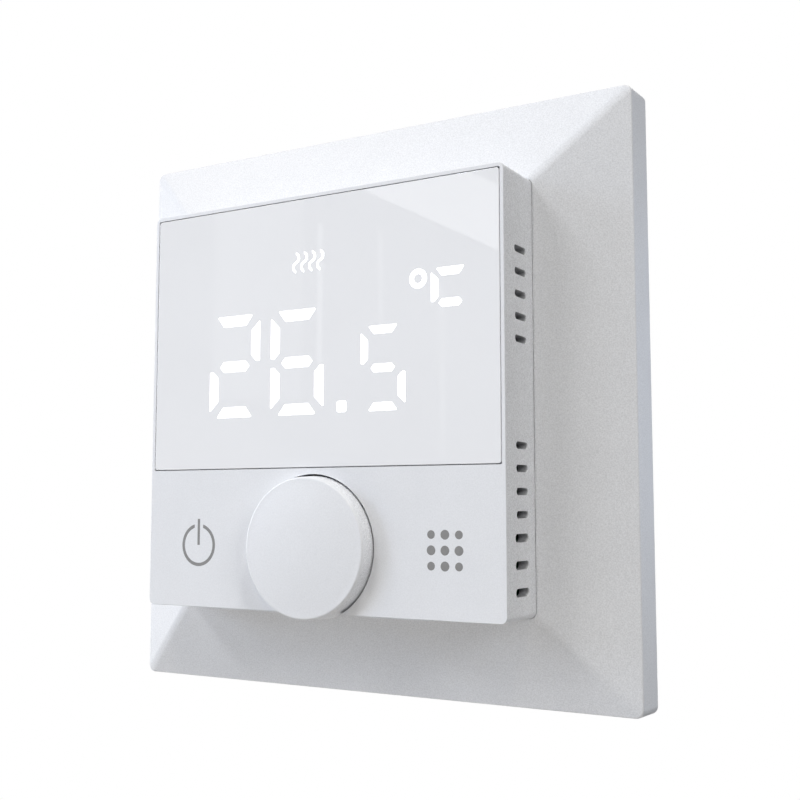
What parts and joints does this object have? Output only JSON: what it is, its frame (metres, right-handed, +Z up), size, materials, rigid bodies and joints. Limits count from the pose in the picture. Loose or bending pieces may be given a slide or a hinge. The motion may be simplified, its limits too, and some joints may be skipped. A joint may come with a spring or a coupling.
{
  "type": "wall thermostat",
  "caption": "Square room thermostat with a glossy lit display, touch marks and a turn-and-press knob, in a sloped decorative frame over a flush-box power unit.",
  "frame": {"origin": "centre of the two box screws' line, on the wall plane, which is the middle of the decorative frame", "axes": "+Z up, the front faces -Y, +X to the right when looking at the front"},
  "size_m": [0.08, 0.0452, 0.08],
  "materials": {
    "frame_plastic": "fine matte grain, white",
    "cover_plastic": "fine matte grain, white",
    "knob_plastic": "fine matte grain, white",
    "lens_plastic": "glossy translucent white",
    "lit_symbol": "lit white, flush in the lens",
    "printed_mark": "grey print, flush in the cover",
    "film": "milky diffuser film",
    "mask_plastic": "white reflector plastic",
    "led": "small light source in clear resin",
    "board": "green circuit board with solder mask",
    "black_plastic": "black moulded plastic",
    "grey_plastic": "light grey flame-resistant housing plastic",
    "terminal_plastic": "green terminal plastic",
    "plate_steel": "zinc-plated sheet steel",
    "screw_steel": "zinc-plated steel",
    "spring_steel": "bright spring steel",
    "can_metal": "tinned shield can",
    "brass": "bright brass",
    "blue_lacquer": "blue epoxy lacquer",
    "yellow_plastic": "yellow box of a film capacitor",
    "brown_plastic": "brown fuse housing",
    "sleeve": "dark shrink sleeve",
    "light_plastic": "natural bearing plastic"
  },
  "bodies": {
    "wall_unit": {"wall_frame": "frame_plastic", "carrier_plate": "plate_steel", "frame_clips": "spring_steel", "power_housing": "grey_plastic", "base_lid": "grey_plastic", "lid_screws": "screw_steel", "socket_strip": "black_plastic", "power_board": "board", "relay": "black_plastic", "transformer": "yellow_plastic", "filter_capacitor": "sleeve", "safety_capacitor": "yellow_plastic", "varistor": "blue_lacquer", "fuse": "brown_plastic", "choke": "black_plastic", "terminal_block": "terminal_plastic", "terminal_screws": "screw_steel", "terminal_clamps": "brass"},
    "head": {"front_cover": "cover_plastic", "display_lens": "lens_plastic", "display_segments": "lit_symbol", "touch_icons": "printed_mark", "diffuser_film": "film", "light_mask": "mask_plastic", "segment_leds": "led", "display_board": "board", "mask_screws": "screw_steel", "microcontroller": "black_plastic", "radio_module": "can_metal", "temperature_sensor": "black_plastic", "buzzer": "black_plastic", "clock_battery": "can_metal", "touch_spring_power": "spring_steel", "touch_spring_menu": "spring_steel", "encoder_housing": "black_plastic", "encoder_bushing": "plate_steel", "detent_spring": "brass", "switch_dome": "spring_steel", "header_base": "black_plastic", "header_pins": "brass", "head_rear_cover": "grey_plastic"},
    "rotor": {"encoder_rotor": "light_plastic"},
    "knob": {"knob_cap": "knob_plastic", "encoder_shaft": "screw_steel", "knob_clip": "spring_steel"}
  },
  "joints": [
    {"name": "head_release", "type": "slide", "parent": "wall_unit", "child": "head", "axis": [0, -1, 0], "range_m": [0, 0.012]},
    {"name": "knob_turn", "type": "hinge", "parent": "head", "child": "rotor", "pos_m": [0, -0.0139, -0.0194], "axis": [0, -1, 0], "continuous": true},
    {"name": "knob_press", "type": "slide", "parent": "rotor", "child": "knob", "axis": [0, 1, 0], "range_m": [0, 0.0005], "stiffness_N_per_m": 6000}
  ]
}
